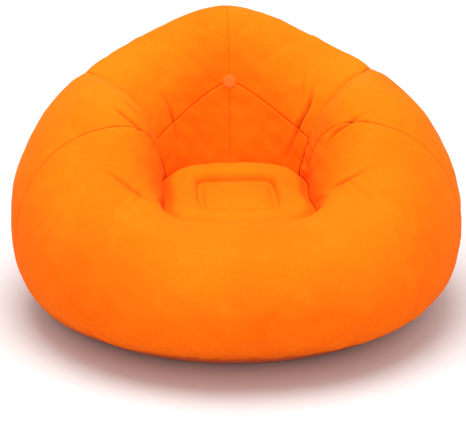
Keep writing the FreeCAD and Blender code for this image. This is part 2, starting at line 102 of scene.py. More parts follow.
def outline_point(number, bearing):
    """Radius and height of one numbered point of the outline, in mm."""
    edge_r, edge_z = around(SEAT_EDGE_RADIUS, bearing), around(SEAT_EDGE_HEIGHT, bearing)
    crest_r, crest_z = around(CREST_RADIUS, bearing), around(CREST_HEIGHT, bearing)
    wide_r, wide_z = around(WIDEST_RADIUS, bearing), around(WIDEST_HEIGHT, bearing)
    base_r, base_z = around(BASE_SEAM_RADIUS, bearing), BASE_SEAM_HEIGHT
    lean = np.radians(around(INNER_WALL_LEAN, bearing))
    tie_r = tie_radius(bearing)
    band_in, band_out = tie_r - WELD_BAND / 2, tie_r + WELD_BAND / 2
    crown_r, crown_z = (band_out + edge_r) / 2, edge_z + SEAT_CROWN
    middle_z = TIE_HEIGHT + SEAT_MIDDLE_RISE
    rise = (crest_z - edge_z) / 2
    floor_r = base_r - FLOOR_CURL
    r, z = (
        (0 * base_r, middle_z), (0.45 * band_in, middle_z), (0.9 * band_in, middle_z),
        (band_in, TIE_HEIGHT), (band_in + WELD_BAND / 3, TIE_HEIGHT),
        (band_out - WELD_BAND / 3, TIE_HEIGHT),
        (band_out, TIE_HEIGHT), (band_out + 0.1 * (crown_r - band_out), crown_z),
        (crown_r - 0.5 * (crown_r - band_out), crown_z),
        (crown_r, crown_z), (crown_r + 0.55 * (edge_r - crown_r), crown_z),
        (edge_r - SEAT_EDGE_TURN, edge_z + 0.45 * SEAT_CROWN),
        (edge_r, edge_z), (edge_r + rise * np.tan(lean), edge_z + rise),
        (crest_r - 0.8 * (crest_r - edge_r), crest_z),
        (crest_r, crest_z), (crest_r + 0.55 * (wide_r - crest_r), crest_z),
        (wide_r, wide_z + 0.55 * (crest_z - wide_z)),
        (wide_r, wide_z), (wide_r, wide_z - 0.55 * (wide_z - base_z)),
        (base_r + 0.45 * (wide_r - base_r), base_z + 0.25 * (wide_z - base_z)),
        (base_r, base_z),
        (base_r - 0.16 * (wide_r - base_r), base_z * 0.58), (floor_r + 14, 0.0),
        (floor_r, 0.0),
    )[number]
    step = number - SEAT_EDGE
    if 0 <= step < len(CREASE_DEPTHS):
        folded = bearing % 360.0
        folded = np.minimum(folded, 360.0 - folded)
        from_crease = np.abs(folded - CREASE_BEARINGS[step])
        away = np.minimum(from_crease / CREASE_HALF_WIDTH, 1.0)
        pull = CREASE_DEPTHS[step] * (1 - np.sqrt(1 - (1 - away) ** 2))
        pull = pull + CREASE_PINCH[step] * np.exp(-from_crease / PINCH_HALF_WIDTH)
        core_r, core_z = (edge_r + wide_r) / 2, (crest_z + base_z) / 2
        distance = np.hypot(core_r - r, core_z - z)
        r, z = r + pull * (core_r - r) / distance, z + pull * (core_z - z) / distance
    return r, z + 0 * base_r


def listed(bearings, number):
    """The bearing that a line up the skin gives to a numbered point."""
    return bearings[min(max(number - SEAT_EDGE, 0), len(bearings) - 1)]


def arm_seam(number):
    return listed(ARM_SEAM_BEARINGS, number)


def crease_bearing(number):
    return listed(CREASE_BEARINGS, number)


SECTORS = {
    "front": (lambda number: -arm_seam(number), arm_seam),
    "right_arm": (arm_seam, crease_bearing),
    "right_back": (crease_bearing, lambda number: 180.0),
    "left_back": (lambda number: 180.0, lambda number: 360.0 - crease_bearing(number)),
    "left_arm": (lambda number: 360.0 - crease_bearing(number),
                 lambda number: 360.0 - arm_seam(number)),
    "all_round": (lambda number: 0.0, lambda number: 360.0),
}


def skin(sector, share, place):
    """Points of the skin, in metres: share is the way across a sector, from 0 to 1."""
    start, end = SECTORS[sector]
    found = np.zeros((len(share), 3))
    for first in range(0, FLOOR_EDGE, CURVE_STEP):
        here = (place >= first) & ((place < first + CURVE_STEP) | (place >= FLOOR_EDGE))
        if not here.any():
            continue
        t = np.minimum((place[here] - first) / CURVE_STEP, 1.0)
        weights = ((1 - t) ** 3, 3 * t * (1 - t) ** 2, 3 * t**2 * (1 - t), t**3)
        total = np.zeros((here.sum(), 3))
        for step, weight in enumerate(weights):
            number = first + step
            bearing = start(number) + share[here] * (end(number) - start(number))
            r, z = outline_point(number, bearing)
            angle = np.radians(bearing)
            point = np.stack([r * np.sin(angle), RING_CENTRE_Y - r * np.cos(angle), z], -1)
            total += weight[:, None] * point
        found[here] = total * MM
    return found


# --- the pieces' relief
SEED = 7
OPEN_SEAM = 3.0


def value_noise(along, wave, seed, loop):
    """Smooth noise along a seam, between -1 and 1, that meets itself after a loop's length."""
    count = max(int(round(loop / wave)), 2)
    values = np.random.default_rng(seed).uniform(-1, 1, count)
    position = along / loop * count
    first = np.floor(position).astype(int)
    t = position - first
    t = t * t * (3 - 2 * t)
    return values[first % count] * (1 - t) + values[(first + 1) % count] * t


def cloud_noise(points, wavelength, seed, waves=14):
    """Smooth noise in space, between about -1 and 1, from crossing waves."""
    random = np.random.default_rng(seed)
    total = np.zeros(len(points))
    for _ in range(waves):
        direction = random.normal(size=3)
        direction *= random.uniform(0.6, 1.5) / np.linalg.norm(direction) / wavelength
        total += np.sin(2 * math.pi * points @ direction + random.uniform(0, 2 * math.pi))
    return total / math.sqrt(waves)


def bulge_to(distance, width):
    """1 at a seam, falling to 0 at width from it, like a round pad's edge."""
    share = 1 - np.clip(distance / width, 0, 1)
    return 1 - np.sqrt(1 - share**2)


def along_and_from(points, route):
    """For each point, its distance from a route of points and how far along the route it is."""
    nearest = np.full(len(points), np.inf)
    along = np.zeros(len(points))
    run = 0.0
    for start, end in zip(route[:-1], route[1:]):
        leg = end - start
        length = np.linalg.norm(leg)
        share = np.clip((points - start) @ leg / length**2, 0, 1)
        distance = np.linalg.norm(points - start - share[:, None] * leg, axis=1)
        closer = distance < nearest
        nearest[closer] = distance[closer]
        along[closer] = run + share[closer] * length
        run += length
    return nearest, along, run


def smooth_route(corners, steps=10):
    """A smooth line through a few corners."""
    corners = np.array(corners, float)
    padded = np.vstack([2 * corners[0] - corners[1], corners, 2 * corners[-1] - corners[-2]])
    route = []
    for a, b, c, d in zip(padded, padded[1:], padded[2:], padded[3:]):
        for t in np.linspace(0, 1, steps, endpoint=False):
            route.append(0.5 * (2 * b + (c - a) * t + (2 * a - 5 * b + 4 * c - d) * t * t
                                + (3 * b - a - 3 * c + d) * t**3))
    return np.array(route + [corners[-1]])


# A fold is a short line where the sheet is pressed into a groove, with painted shade along its
# core: its corners as (sector, share, place), its depth and half width in mm, and how much the
# sheet stands up beside it.
FOLDS = [
    ([("right_back", 0.24, 14.2), ("right_back", 0.17, 13.4), ("right_back", 0.19, 12.9),
      ("right_back", 0.23, 12.25)], 9.0, 4.6, 0.4),
    ([("right_back", 0.33, 13.95), ("right_back", 0.27, 13.45)], 3.0, 4.0, 0.3),
    ([("left_back", 0.68, 13.6), ("left_back", 0.655, 12.94), ("left_back", 0.66, 12.5)],
     5.0, 4.0, 0.3),
    ([("left_arm", 0.72, 15.2), ("left_arm", 0.876, 14.67), ("left_arm", 0.961, 14.29),
      ("front", 0.016, 13.72)], 5.5, 3.6, 0.35),
    ([("left_arm", 0.62, 14.75), ("left_arm", 0.74, 14.4), ("left_arm", 0.82, 13.95)],
     3.5, 3.4, 0.3),
    ([("front", 0.095, 15.02), ("front", 0.148, 14.49), ("front", 0.215, 13.9)], 6.5, 3.6, 0.4),
    ([("front", 0.135, 14.78), ("front", 0.18, 14.3)], 3.0, 3.4, 0.3),
    ([("right_arm", 0.12, 15.12), ("front", 0.998, 14.49), ("front", 0.972, 13.8),
      ("front", 0.94, 13.35)], 5.5, 3.6, 0.35),
    ([("right_arm", 0.13, 14.6), ("right_arm", 0.069, 13.71)], 3.5, 3.4, 0.3),
    ([("front", 0.9, 14.95), ("front", 0.844, 14.06), ("front", 0.795, 12.8)], 6.5, 3.6, 0.4),
    ([("front", 0.83, 14.5), ("front", 0.775, 13.1)], 3.5, 3.4, 0.3),
]


def fold_routes():
    routes = []
    for corners, depth, half_width, shoulder in FOLDS:
        spots = [skin(sector, np.array([share]), np.array([place]))[0]
                 for sector, share, place in corners]
        routes.append((smooth_route(spots), depth * MM, half_width * MM, shoulder))
    return routes


ROUTES = fold_routes()


def fold_relief(points):
    """How far the folds move each point, outward positive, and how much painted shade darkens
    each point in a fold's core.
    """
    moved, painted_shade = np.zeros(len(points)), np.zeros(len(points))
    for route, depth, half_width, shoulder in ROUTES:
        low, high = route.min(0) - 0.05, route.max(0) + 0.05
        near = ((points > low) & (points < high)).all(1)
        if not near.any():
            continue
        distance, along, length = along_and_from(points[near], route)
        taper = np.sin(math.pi * np.clip(along / length, 0, 1)) ** 0.8
        groove = -np.exp(-np.abs(distance / half_width) ** 1.3)
        bank = shoulder * np.exp(-((distance - 2.8 * half_width) / (1.7 * half_width)) ** 2)
        moved[near] += depth * taper * (groove + bank)
        # painted shade along each fold's core, stronger for deeper folds
        inside = taper * min(1, depth / 0.006) * np.exp(-(distance / (0.8 * half_width)) ** 2)
        painted_shade[near] = np.maximum(painted_shade[near], inside)
    return moved, painted_shade


# a weld's dip, the dip's width, its puckers' height and reach, the seam's length if it is
# closed, and its seed: all in metres
ARM_WELD = (0.0011, 0.010, 0.0020, 0.026, OPEN_SEAM, 11)
CREASE_WELD = (0.0, 0.022, 0.0026, 0.045, OPEN_SEAM, 23)
BACK_WELD = (0.0005, 0.008, 0.0007, 0.030, OPEN_SEAM, 37)
LOW_BACK_WELD = (0.0007, 0.009, 0.0012, 0.030, 1.4, 41)
SEAT_WELD = (0.0, 0.014, 0.0022, 0.028, 1.4, 53)
BASE_WELD = (0.0, 0.016, 0.0026, 0.034, 2.7, 67)
TIE_WELD = (0.0, 0.010, 0.0014, 0.020, 0.62, 71)
WELD_HALF_WIDTH = 0.0028
# the puckers' spacing, finer ripple, strong and weak groups, uneven reach and start, in metres
PUCKER_WAVE, PUCKER_RIPPLE, PUCKER_GROUP = 0.021, 0.0095, 0.11
PUCKER_REACH_WAVE, PUCKER_START = 0.028, 0.006
# the sheet's slight unevenness: heights and wavelengths
UNEVEN = ((0.0009, 0.16), (0.0005, 0.05))
SEAT_UNEVEN = (0.0008, 0.07)
EDGE_FADE = 0.008
# the painted shade along the crease: its width, its outer radius, its lowest height and its fade,
# in metres
CREASE_LINE = 0.0060
CREASE_LINE_OUT = 0.50
CREASE_LINE_LOW = 0.20
CREASE_LINE_FADE = 0.05
VALVE_ORIGIN = np.array((-0.231145, 0.453918, 0.210897))
VALVE_OUT = np.array((-0.422157, 0.873278, -0.243245))
VALVE_CLEAR = 0.045
VALVE_FADE = 0.04
VALVE_HOLE = 0.0178
VALVE_NEAR = 0.05
VALVE_RIM_REACH = 0.035
SWELL_FRAMES = 20
SWELL_GROWTH = -0.02
SWELL_MASS = 0.25
SWELL_PRESSURE = 4
SWELL_CAP = 0.006
SWELL_SHARE = 0.7
BACK_SWELL_SHARE = 0.3
PATCH_RADIUS = 0.0165
PATCH_SHEET = 0.0004
PATCH_LIFT, PATCH_CROWN = 0.0005, 0.0011
PATCH_STEP = 0.05
PATCH_PLACE = SEAT_EDGE + CURVE_STEP * LOW_BACK_TOP_MIDDLE


def patch_spot(place):
    return skin("all_round", np.array([0.5]), np.array([place]))[0]


PATCH_SPOT = patch_spot(PATCH_PLACE)


def seam_relief(distance, along, seam):
    """The dip beside a weld with its puckers, in metres, and how much of it is the weld itself."""
    depth, width, pucker, reach, loop, seed = seam
    dip = depth * bulge_to(distance, width)
    waves = (value_noise(along, PUCKER_WAVE, seed, loop)
             + 0.6 * value_noise(along, PUCKER_RIPPLE, seed + 1, loop))
    here = value_noise(along, PUCKER_GROUP, seed + 2, loop)
    strength = 0.35 + 0.65 * np.clip(here + 0.35, 0, 1)
    uneven_reach = 0.55 + 0.6 * np.abs(value_noise(along, PUCKER_REACH_WAVE, seed + 3, loop))
    ridges = np.exp(-distance / (reach * uneven_reach)) * (1 - np.exp(-distance / PUCKER_START))
    return -dip + pucker * waves * strength * ridges, np.exp(-(distance / WELD_HALF_WIDTH) ** 2)


def in_the_crease(points):
    """How strong the crease's painted shade is: 1 where the crease is deep, inside the crest,
    fading to 0 over the crest and outside.
    """
    radius = np.hypot(points[:, 0], points[:, 1] - RING_CENTRE_Y * MM)
    return (np.clip((CREASE_LINE_OUT - radius) / CREASE_LINE_FADE, 0, 1)
            * np.clip((points[:, 2] - CREASE_LINE_LOW) / CREASE_LINE_FADE, 0, 1))


def turn_of(points):
    """How far round the seat each point is, from 0 at the front to 1."""
    centre_y = RING_CENTRE_Y * MM
    return np.arctan2(points[..., 0], centre_y - points[..., 1]) / (2 * math.pi) % 1.0


def grid_lengths(points, axis):
    """Distance along the grid's lines from their first point."""
    steps = np.linalg.norm(np.diff(points, axis=axis), axis=2)
    lengths = np.cumsum(steps, axis=axis)
    return np.concatenate([0 * np.take(lengths, [0], axis=axis), lengths], axis=axis)


def grid_normals(points):
    """Outward directions of a panel's grid of points."""
    normal = np.cross(np.gradient(points, axis=1), np.gradient(points, axis=0))
    return normal / np.maximum(np.linalg.norm(normal, axis=2, keepdims=True), 1e-12)


def clear_of_fittings(points):
    """0 at the valve and under the patch, where the sheet is smooth, and 1 away from them."""
    from_valve = np.linalg.norm(points - VALVE_ORIGIN, axis=-1)
    from_patch = np.linalg.norm(points - PATCH_SPOT, axis=-1)
    return (np.clip((from_valve - VALVE_CLEAR) / VALVE_FADE, 0, 1)
            * np.clip((from_patch - PATCH_RADIUS) / PATCH_RADIUS, 0, 1))


def relief(points, seams):
    """Moves a panel's grid of points by its seams, folds and slight unevenness.

    seams gives, for the left, right, inner and outer edges, a weld and whether the next panel
    meets it at an angle. Returns the points, how much of each is weld and how much painted
    shade it gets in a fold's core or along the crease.
    """
    across, up = grid_lengths(points, 0), grid_lengths(points, 1)
    from_edges = (across, across[-1:] - across, up, up[:, -1:] - up)
    turn = turn_of(points).ravel()
    down = (up[:, -1:] - up).ravel()
    flat = points.reshape(-1, 3)
    moved, painted_shade = fold_relief(flat)
    for step, (height, wavelength) in enumerate(UNEVEN):
        moved += height * cloud_noise(flat, wavelength, SEED + step)
    weld = np.zeros(len(flat))
    kept = np.ones(len(flat))
    for distance, (seam, sharp) in zip(from_edges, seams):
        distance = distance.ravel()
        loop = seam[4]
        change, on_weld = seam_relief(distance, down if loop == OPEN_SEAM else turn * loop, seam)
        moved += change
        weld = np.maximum(weld, on_weld)
        if seam is CREASE_WELD:
            deep = in_the_crease(flat)
            line = CREASE_LINE * (0.5 + 0.5 * deep)
            # painted shade along the crease line, strongest where the crease is deep
            painted_shade = np.maximum(painted_shade, (0.3 + 0.7 * deep) * np.exp(-(distance / line) ** 2))
        if sharp:
            kept *= 1 - np.exp(-distance / EDGE_FADE)
    kept *= clear_of_fittings(flat)
    normals = grid_normals(points).reshape(-1, 3)
    return (flat + normals * (moved * kept)[:, None]).reshape(points.shape), weld, painted_shade


# --- the pieces
# the share of a back panel's rows inside the crest, how its columns crowd towards the crease,
# and the share of the base sheet's rings that lie flat
BACK_WALL_SHARE = 0.24
CREASE_CROWDING = 1.4
BASE_FLAT_RING = 0.72


def new_object(name, mesh):
    piece = bpy.data.objects.new(name, mesh)
    bpy.context.scene.collection.objects.link(piece)
    return piece


def grid_mesh(name, across, up):
    """A flat grid of one unit, with each vertex's column and row."""
    bm = bmesh.new()
    bmesh.ops.create_grid(bm, x_segments=across, y_segments=up, size=0.5)
    mesh = bpy.data.meshes.new(name)
    bm.to_mesh(mesh)
    bm.free()
    flat = points_of(mesh) + 0.5
    return mesh, np.rint(flat[:, 0] * across).astype(int), np.rint(flat[:, 1] * up).astype(int)


def points_of(mesh):
    flat = np.zeros(len(mesh.vertices) * 3)
    mesh.vertices.foreach_get("co", flat)
    return flat.reshape(-1, 3)


def shape_mesh(mesh, points, weld, painted_shade):
    mesh.vertices.foreach_set("co", points.ravel())
    # weld marks the welds, the other attribute the painted shade in the folds' cores and along the
    # crease
    for name, values in (("weld", weld), ("painted_shade", painted_shade)):
        attribute = mesh.attributes.new(name, "FLOAT", "POINT")
        attribute.data.foreach_set("value", np.clip(values, 0, 1))
    mesh.update()


def low_back_top(sector, share):
    from_crease = share if sector == "right_back" else 1 - share
    rise = from_crease**LOW_BACK_TOP_BOW
    return LOW_BACK_TOP_SIDE + (LOW_BACK_TOP_MIDDLE - LOW_BACK_TOP_SIDE) * rise


def panel_places(sector, part, share, height):
    """Outline places of a panel's rows: height runs from 0 at its inner edge to 1."""
    if part == "whole":
        return SEAT_EDGE + (BASE_SEAM - SEAT_EDGE) * height
    top = SEAT_EDGE + CURVE_STEP * low_back_top(sector, share)
    if part == "low":
        return SEAT_EDGE + (top - SEAT_EDGE) * height
    on_wall = top + (CREST - top) * height / BACK_WALL_SHARE
    beyond = CREST + (BASE_SEAM - CREST) * (height - BACK_WALL_SHARE) / (1 - BACK_WALL_SHARE)
    return np.where(height < BACK_WALL_SHARE, on_wall, beyond)


def panel_shares(sector, column):
    """Shares across a sector, closer together beside a crease."""
    if sector in ("right_arm", "left_back"):
        return 1 - (1 - column) ** CREASE_CROWDING
    if sector in ("right_back", "left_arm"):
        return column**CREASE_CROWDING
    return column


def blurred(field, reach):
    """A grid of values averaged over a reach of cells each way."""
    for axis in (0, 1):
        for _ in range(2):
            edge = [(reach, reach) if axis == here else (0, 0) for here in range(field.ndim)]
            sums = np.cumsum(np.pad(field, edge, mode="edge"), axis=axis)
            sums = np.concatenate([0 * np.take(sums, [0], axis=axis), sums], axis=axis)
            count = field.shape[axis]
            ahead = np.take(sums, np.arange(count) + 2 * reach + 1, axis=axis)
            field = (ahead - np.take(sums, np.arange(count), axis=axis)) / (2 * reach + 1)
    return field


def finer(field, across, up):
    """A coarse grid of values read at a finer grid's points."""
    for axis, count in ((0, across), (1, up)):
        place = np.linspace(0, field.shape[axis] - 1, count + 1)
        first = np.minimum(place.astype(int), field.shape[axis] - 2)
        share = (place - first).reshape([-1 if axis == here else 1 for here in range(field.ndim)])
        field = (np.take(field, first, axis=axis) * (1 - share)
                 + np.take(field, first + 1, axis=axis) * share)
    return field


def blown_up(points):
    """How air pressure crumples a panel between its welds: how far each of its points moves.

    The sheet is held along its edges and is a little larger than the panel, as PVC sheet is
    when it is warm. Its broad swelling is taken off, because the panel has its full size.
    """
    coarse = points[::2, ::2]
    across, up = coarse.shape[0] - 1, coarse.shape[1] - 1
    mesh, column, row = grid_mesh("blown_sheet", across, up)
    order = np.argsort(column * (up + 1) + row)
    start = np.zeros((len(order), 3))
    start[order] = coarse.reshape(-1, 3)
    mesh.vertices.foreach_set("co", start.ravel())
    mesh.flip_normals()
    blown = new_object("blown_sheet", mesh)
    held = blown.vertex_groups.new(name="held")
    at_edge = (column == 0) | (column == across) | (row == 0) | (row == up)
    held.add(np.nonzero(at_edge)[0].tolist(), 1.0, "REPLACE")
    cloth = blown.modifiers.new("cloth", "CLOTH")
    cloth.point_cache.frame_start, cloth.point_cache.frame_end = 1, SWELL_FRAMES
    sheet = cloth.settings
    sheet.quality = 5
    sheet.mass = SWELL_MASS
    sheet.tension_stiffness = sheet.compression_stiffness = 18
    sheet.shear_stiffness = 8
    sheet.bending_stiffness = 0.6
    sheet.vertex_group_mass = "held"
    sheet.shrink_min = SWELL_GROWTH
    sheet.use_pressure = True
    sheet.uniform_pressure_force = SWELL_PRESSURE
    sheet.effector_weights.gravity = 0
    for step in range(1, SWELL_FRAMES + 1):
        bpy.context.scene.frame_set(step)
    found = blown.evaluated_get(bpy.context.evaluated_depsgraph_get()).data
    moved = (points_of(found) - start)[order].reshape(across + 1, up + 1, 3)
    bpy.data.objects.remove(blown)
    bpy.context.scene.frame_set(1)
    moved = moved - blurred(moved, 5)
    size = np.linalg.norm(moved, axis=2, keepdims=True)
    moved *= np.minimum(1, SWELL_CAP / np.maximum(size, 1e-9))
    from_edge = np.minimum.outer(np.minimum(np.arange(across + 1), across - np.arange(across + 1)),
                                 np.minimum(np.arange(up + 1), up - np.arange(up + 1)))
    moved *= (1 - np.exp(-from_edge / 1.5))[:, :, None]
    return finer(moved, points.shape[0] - 1, points.shape[1] - 1)


def make_panel(name, sector, part, across, up, seams):
    """A panel of the skin as a fine grid, with its relief."""
    mesh, column, row = grid_mesh(name, across, up)
    order = np.argsort(column * (up + 1) + row)
    share = panel_shares(sector, column[order] / across)
    place = panel_places(sector, part, share, row[order] / up)
    plain = skin(sector, share, place).reshape(across + 1, up + 1, 3)
    # relief also gives the painted shade of the folds' cores and the crease
    points, weld, painted_shade = relief(plain, seams)
    much = BACK_SWELL_SHARE if "back" in sector else SWELL_SHARE
    points += much * blown_up(plain) * clear_of_fittings(plain)[:, :, None]
    located = np.zeros((len(order), 5))
    located[order] = np.column_stack([points.reshape(-1, 3), weld, painted_shade])
    shape_mesh(mesh, located[:, :3], located[:, 3], located[:, 4])
    mesh.flip_normals()
    return new_object(name, mesh)


def square_rings(mesh):
    """Which ring of a square grid each vertex is on, from 0 in the middle to 1, and its bearing."""
    flat = points_of(mesh) * 2
    ring = np.maximum(np.abs(flat[:, 0]), np.abs(flat[:, 1]))
    return ring, np.degrees(np.arctan2(flat[:, 0], -flat[:, 1])) % 360


def make_seat(name, cells):
    """The seat pillow with its welded rounded square."""
    mesh, _, _ = grid_mesh(name, cells, cells)
    ring, bearing = square_rings(mesh)
    place = np.interp(ring, (0, 0.40, 0.47, 0.74, 1), (0, 3, 6, 9, 12))
    points = skin("all_round", bearing / 360, place)
    radius = np.hypot(points[:, 0], points[:, 1] - RING_CENTRE_Y * MM)
    from_tie = np.maximum(np.abs(radius - tie_radius(bearing) * MM) - WELD_BAND * MM / 2, 0)
    from_edge = around(SEAT_EDGE_RADIUS, bearing) * MM - radius
    at_tie, _ = seam_relief(from_tie, bearing / 360 * TIE_WELD[4], TIE_WELD)
    at_edge, edge_weld = seam_relief(from_edge, bearing / 360 * SEAT_WELD[4], SEAT_WELD)
    faded = 1 - np.exp(-np.maximum(from_edge, 0) / EDGE_FADE)
    band = from_tie <= 0
    height, wavelength = SEAT_UNEVEN
    uneven = height * cloud_noise(points, wavelength, SEED + 5) * ~band
    points[:, 2] += (at_tie + at_edge + uneven) * faded
    shape_mesh(mesh, points, np.maximum(edge_weld, band), 0 * ring)
    return new_object(name, mesh)


def make_base(name, cells):
    """The base sheet: flat on the floor, turned up round its edge to the base seam."""
    mesh, _, _ = grid_mesh(name, cells, cells)
    ring, bearing = square_rings(mesh)
    place = np.interp(ring, (BASE_FLAT_RING, 1), (FLOOR_EDGE, BASE_SEAM))
    points = skin("all_round", bearing / 360, place)
    centre = np.array([0, RING_CENTRE_Y * MM, 0])
    points = centre + (points - centre) * np.clip(ring / BASE_FLAT_RING, 0, 1)[:, None]
    radius = np.hypot(points[:, 0], points[:, 1] - centre[1])
    from_edge = around(BASE_SEAM_RADIUS, bearing) * MM - radius
    change, weld = seam_relief(from_edge, bearing / 360 * BASE_WELD[4], BASE_WELD)
    outward = (points - centre) * [1, 1, 0] / np.maximum(radius, 0.05)[:, None]
    raised = np.clip(points[:, 2] / (BASE_SEAM_HEIGHT * MM), 0, 1)
    faded = 1 - np.exp(-np.maximum(from_edge, 0) / EDGE_FADE)
    points += outward * (change * raised * faded)[:, None]
    points[:, 2] = np.maximum(points[:, 2], 0)
    shape_mesh(mesh, points, weld, 0 * ring)
    mesh.flip_normals()
    return new_object(name, mesh)


def cut_valve_hole(piece):
    """Opens the round hole that the valve's collar passes through."""
    bm = bmesh.new()
    bm.from_mesh(piece.data)
    origin, out = Vector(VALVE_ORIGIN), Vector(VALVE_OUT)

    def level(co):
        offset = co - origin
        return offset - out * offset.dot(out)

    near = [face for face in bm.faces
            if (face.calc_center_median() - origin).length < VALVE_NEAR]
    gone = [face for face in near
            if min(level(vert.co).length for vert in face.verts) < VALVE_HOLE * 0.98]
    bmesh.ops.delete(bm, geom=gone, context="FACES")
    for edge in bm.edges:
        if edge.is_boundary:
            for vert in edge.verts:
                if (vert.co - origin).length < VALVE_RIM_REACH:
                    flat = level(vert.co)
                    vert.co += flat.normalized() * VALVE_HOLE - flat
    bm.to_mesh(piece.data)
    bm.free()


def make_patch(name, cells):
    """The round patch that lies over the back's seams where they meet, standing up a little."""
    mesh, _, _ = grid_mesh(name, cells, cells)
    ring, bearing = square_rings(mesh)
    angle = np.radians(bearing)
    across, up = PATCH_RADIUS * ring * np.sin(angle), -PATCH_RADIUS * ring * np.cos(angle)
    level = math.hypot(PATCH_SPOT[0], PATCH_SPOT[1] - RING_CENTRE_Y * MM)
    rise = patch_spot(PATCH_PLACE + PATCH_STEP) - PATCH_SPOT
    step = np.linalg.norm(rise) / PATCH_STEP
    points = skin("all_round", 0.5 - across / level / (2 * math.pi), PATCH_PLACE + up / step)
    out = np.cross((1, 0, 0), rise / np.linalg.norm(rise))
    points += out * (PATCH_LIFT + PATCH_CROWN * np.sqrt(1 - 0.98 * ring**4))[:, None]
    shape_mesh(mesh, points, 0 * ring, 0 * ring)
    return new_object(name, mesh)


def finish_sheet(piece, node, finish, wall=SHEET * MM):
    """Gives a sheet its shading, wall and finish, and hides the part it stands for."""
    mesh = piece.data
    mesh.polygons.foreach_set("use_smooth", np.ones(len(mesh.polygons), bool))
    mesh.materials.append(finish)
    thickness = piece.modifiers.new("wall", "SOLIDIFY")
    thickness.thickness = wall
    thickness.offset = -1.0
    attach(piece, "chair")
    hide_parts(node)


# --- the finishes
def new_finish(name, **sockets):
    finish = bpy.data.materials.new(name)
    finish.use_nodes = True
    tree = finish.node_tree
    shader = tree.nodes["Principled BSDF"]
    for socket, value in sockets.items():
        shader.inputs[socket.replace("_", " ")].default_value = value
    return finish, tree, shader


def place_on_piece(tree, stretch=(1, 1, 1)):
    coordinates = tree.nodes.new("ShaderNodeTexCoord")
    mapping = tree.nodes.new("ShaderNodeMapping")
    mapping.inputs["Scale"].default_value = stretch
    tree.links.new(coordinates.outputs["Object"], mapping.inputs["Vector"])
    return mapping.outputs["Vector"]


def cloudy(tree, where, scale, detail=2.0, roughness=0.5, distortion=0.0):
    noise = tree.nodes.new("ShaderNodeTexNoise")
    noise.inputs["Scale"].default_value = scale
    noise.inputs["Detail"].default_value = detail
    noise.inputs["Roughness"].default_value = roughness
    noise.inputs["Distortion"].default_value = distortion
    tree.links.new(where, noise.inputs["Vector"])
    return noise.outputs["Fac"]


def spread(tree, value, low, high, to_low=0.0, to_high=1.0):
    ranged = tree.nodes.new("ShaderNodeMapRange")
    for socket, number in zip(("From Min", "From Max", "To Min", "To Max"),
                              (low, high, to_low, to_high)):
        ranged.inputs[socket].default_value = number
    tree.links.new(value, ranged.inputs["Value"])
    return ranged.outputs["Result"]


def mixed(tree, share, first, second, how="MIX"):
    """Mixes two colours, each a socket or a colour, by a share that is a socket or a number."""
    mix = tree.nodes.new("ShaderNodeMix")
    mix.data_type = "RGBA"
    mix.blend_type = how
    for index, value in ((0, share), (6, first), (7, second)):
        if isinstance(value, bpy.types.NodeSocket):
            tree.links.new(value, mix.inputs[index])
        else:
            mix.inputs[index].default_value = value
    return mix.outputs[2]


def summed(tree, first, second, how="ADD"):
    total = tree.nodes.new("ShaderNodeMath")
    total.operation = how
    for index, value in enumerate((first, second)):
        if isinstance(value, bpy.types.NodeSocket):
            tree.links.new(value, total.inputs[index])
        else:
            total.inputs[index].default_value = value
    return total.outputs[0]


def bump(tree, shader, height, distance, strength=1.0):
    raised = tree.nodes.new("ShaderNodeBump")
    raised.inputs["Distance"].default_value = distance
    raised.inputs["Strength"].default_value = strength
    tree.links.new(height, raised.inputs["Height"])
    tree.links.new(raised.outputs["Normal"], shader.inputs["Normal"])


def flocked_pvc(name, colour, deep, pale, shaded):
    """PVC with a face of short velvety fibres, whose nap lies in patches, and smooth welds,
    and with painted shade in the folds' cores and along the crease.
    """
    finish, tree, shader = new_finish(
        name, Sheen_Weight=0.06, Sheen_Roughness=0.4, Sheen_Tint=(1.0, 0.50, 0.10, 1.0),
        Specular_IOR_Level=0.03)
    here = place_on_piece(tree)
    clouds = spread(tree, cloudy(tree, here, 4.5, 3.0, 0.55), 0.36, 0.64)
    brushed = place_on_piece(tree, (1.0, 1.0, 0.45))
    nap = spread(tree, cloudy(tree, brushed, 11.0, 2.5, 0.6, 0.9), 0.56, 0.66)
    rubbed = spread(tree, cloudy(tree, brushed, 26.0, 3.0, 0.65, 0.5), 0.52, 0.72)
    fibres = cloudy(tree, here, 620.0, 2.0, 0.7)
    tufts = cloudy(tree, here, 150.0, 2.0, 0.6)
    weld = tree.nodes.new("ShaderNodeAttribute")
    weld.attribute_name = "weld"
    tint = mixed(tree, clouds, colour, deep)
    tint = mixed(tree, spread(tree, nap, 0, 1, 0, 0.24), tint, pale)
    tint = mixed(tree, spread(tree, rubbed, 0, 1, 0, 0.16), tint, deep)
    speckle = spread(tree, summed(tree, fibres, tufts), 0.7, 1.3, 0.91, 1.07)
    grey = tree.nodes.new("ShaderNodeCombineColor")
    for channel in grey.inputs:
        tree.links.new(speckle, channel)
    tint = mixed(tree, 1.0, tint, grey.outputs[0], "MULTIPLY")
    smooth = spread(tree, weld.outputs["Fac"], 0.15, 0.8)
    tint = mixed(tree, spread(tree, smooth, 0, 1, 0, 0.22), tint, deep)
    # painted shade: the folds' cores and the crease mixed towards the shaded colour
    painted_shade = tree.nodes.new("ShaderNodeAttribute")
    painted_shade.attribute_name = "painted_shade"
    tint = mixed(tree, spread(tree, painted_shade.outputs["Fac"], 0, 1, 0, 0.85), tint, shaded)
    tree.links.new(tint, shader.inputs["Base Color"])
    tree.links.new(spread(tree, smooth, 0, 1, 0.92, 0.6), shader.inputs["Roughness"])
    pile = summed(tree, summed(tree, fibres, tufts), spread(tree, smooth, 0, 1, 1.0, 0.35),
                  "MULTIPLY")
    bump(tree, shader, pile, 0.0006, 0.6)
    return finish


